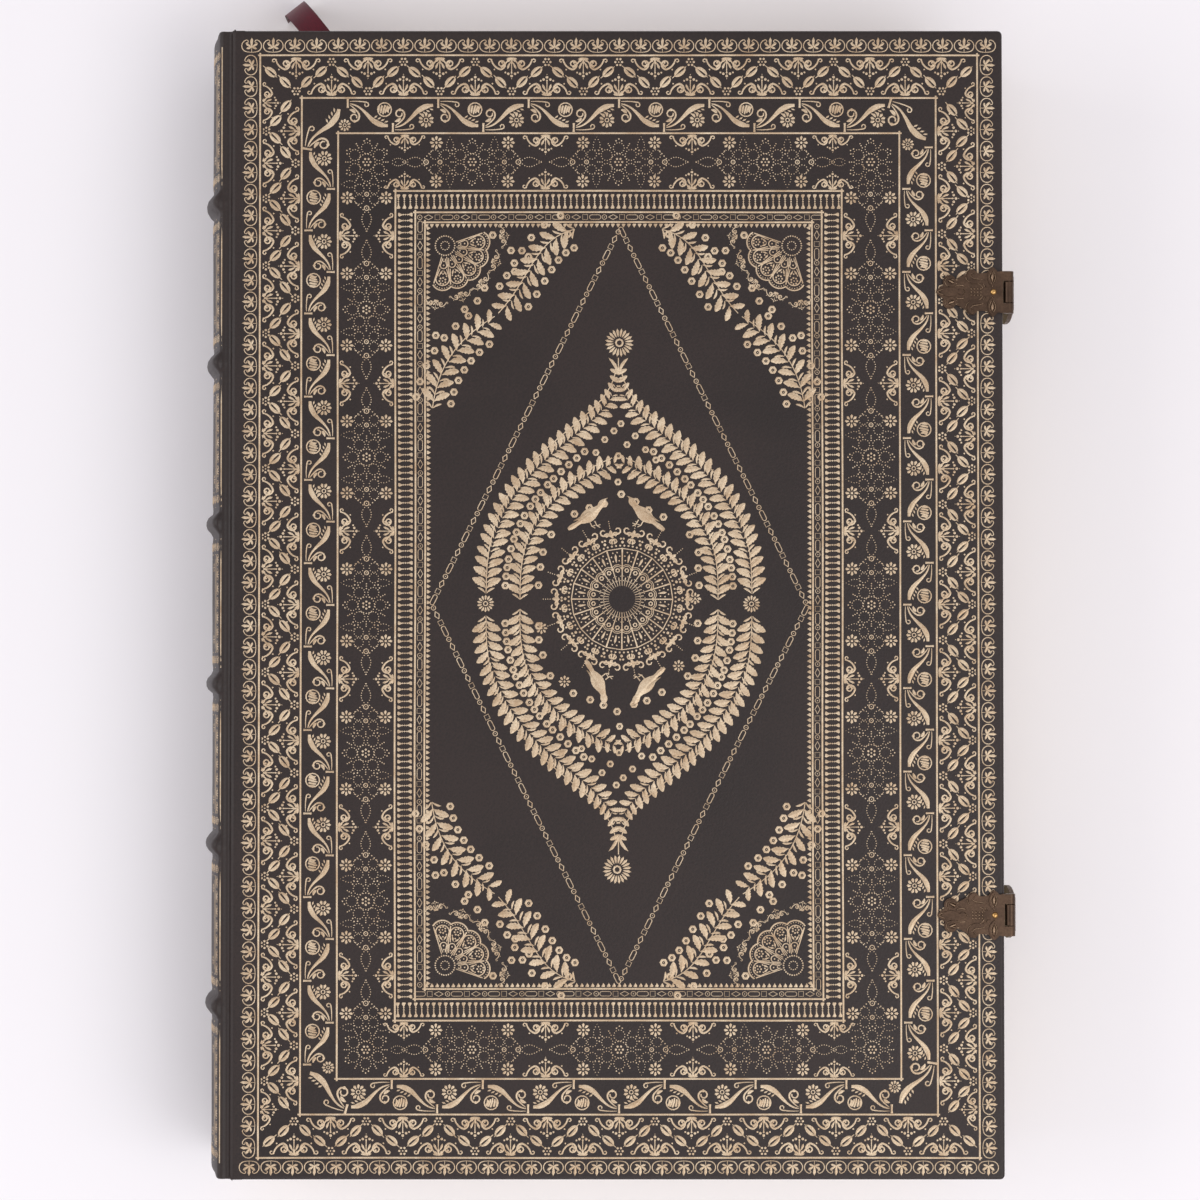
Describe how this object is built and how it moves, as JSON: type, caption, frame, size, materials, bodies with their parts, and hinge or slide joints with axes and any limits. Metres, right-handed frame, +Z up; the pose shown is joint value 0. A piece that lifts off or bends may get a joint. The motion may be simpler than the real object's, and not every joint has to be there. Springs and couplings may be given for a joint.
{
  "type": "antique leather book",
  "caption": "Large leather-bound book with raised bands on its spine, a gilt-tooled front cover, hinged covers, two hinged clasps and a ribbon marker.",
  "frame": {"origin": "centre of the back cover's outer face, on which the closed book rests", "axes": "+Z up out of the front cover, +Y to the head, +X to the fore edge"},
  "size_m": [0.3293, 0.4812, 0.07],
  "materials": {
    "leather": "near-black brown goatskin, satin",
    "board": "grey binder's board",
    "endpaper": "cream laid paper",
    "leaves": "cream paper, cut edges",
    "lining": "glued paper lining",
    "cord": "twisted hemp cord",
    "gilding": "gold leaf, tooled",
    "bronze": "cast bronze, dark patina",
    "brass_pin": "polished by handling",
    "endband_silk": "silk thread",
    "ribbon_silk": "burgundy satin ribbon"
  },
  "bodies": {
    "back_cover": {"back_board": "board", "back_cover_leather": "leather", "back_infill": "board", "back_pastedown": "endpaper", "upper_catch_plate": "bronze", "lower_catch_plate": "bronze", "upper_catch_rivet": "brass_pin", "lower_catch_rivet": "brass_pin", "upper_catch_pin": "brass_pin", "lower_catch_pin": "brass_pin"},
    "book_block": {"text_block": "leaves", "front_flyleaf": "endpaper", "back_flyleaf": "endpaper", "spine_linings": "lining", "sewing_cord_1": "cord", "sewing_cord_2": "cord", "sewing_cord_3": "cord", "sewing_cord_4": "cord", "sewing_cord_5": "cord", "sewing_cord_6": "cord", "spine_leather": "leather", "spine_gilding": "gilding", "headband": "endband_silk", "tailband": "endband_silk", "ribbon_marker": "ribbon_silk"},
    "front_cover": {"front_board": "board", "front_cover_leather": "leather", "front_infill": "board", "front_pastedown": "endpaper", "front_gilt_lines": "gilding", "front_gilt_borders": "gilding", "front_gilt_panel": "gilding", "upper_clasp_plate": "bronze", "lower_clasp_plate": "bronze", "upper_plate_rivet": "brass_pin", "lower_plate_rivet": "brass_pin", "upper_hinge_pin": "bronze", "lower_hinge_pin": "bronze"},
    "upper_clasp": {"upper_hasp": "bronze"},
    "lower_clasp": {"lower_hasp": "bronze"}
  },
  "joints": [
    {"name": "back_cover_hinge", "type": "hinge", "parent": "back_cover", "child": "book_block", "pos_m": [-0.1552, 0, 0.0005], "axis": [0, -1, 0], "range_deg": [0, 175]},
    {"name": "front_cover_hinge", "type": "hinge", "parent": "book_block", "child": "front_cover", "pos_m": [-0.1552, 0, 0.0675], "axis": [0, -1, 0], "range_deg": [0, 175]},
    {"name": "upper_clasp_hinge", "type": "hinge", "parent": "front_cover", "child": "upper_clasp", "pos_m": [0.1569, 0.1246, 0.06702], "axis": [0, -1, 0], "range_deg": [0, 175]},
    {"name": "lower_clasp_hinge", "type": "hinge", "parent": "front_cover", "child": "lower_clasp", "pos_m": [0.1569, -0.1246, 0.06702], "axis": [0, -1, 0], "range_deg": [0, 175]}
  ]
}
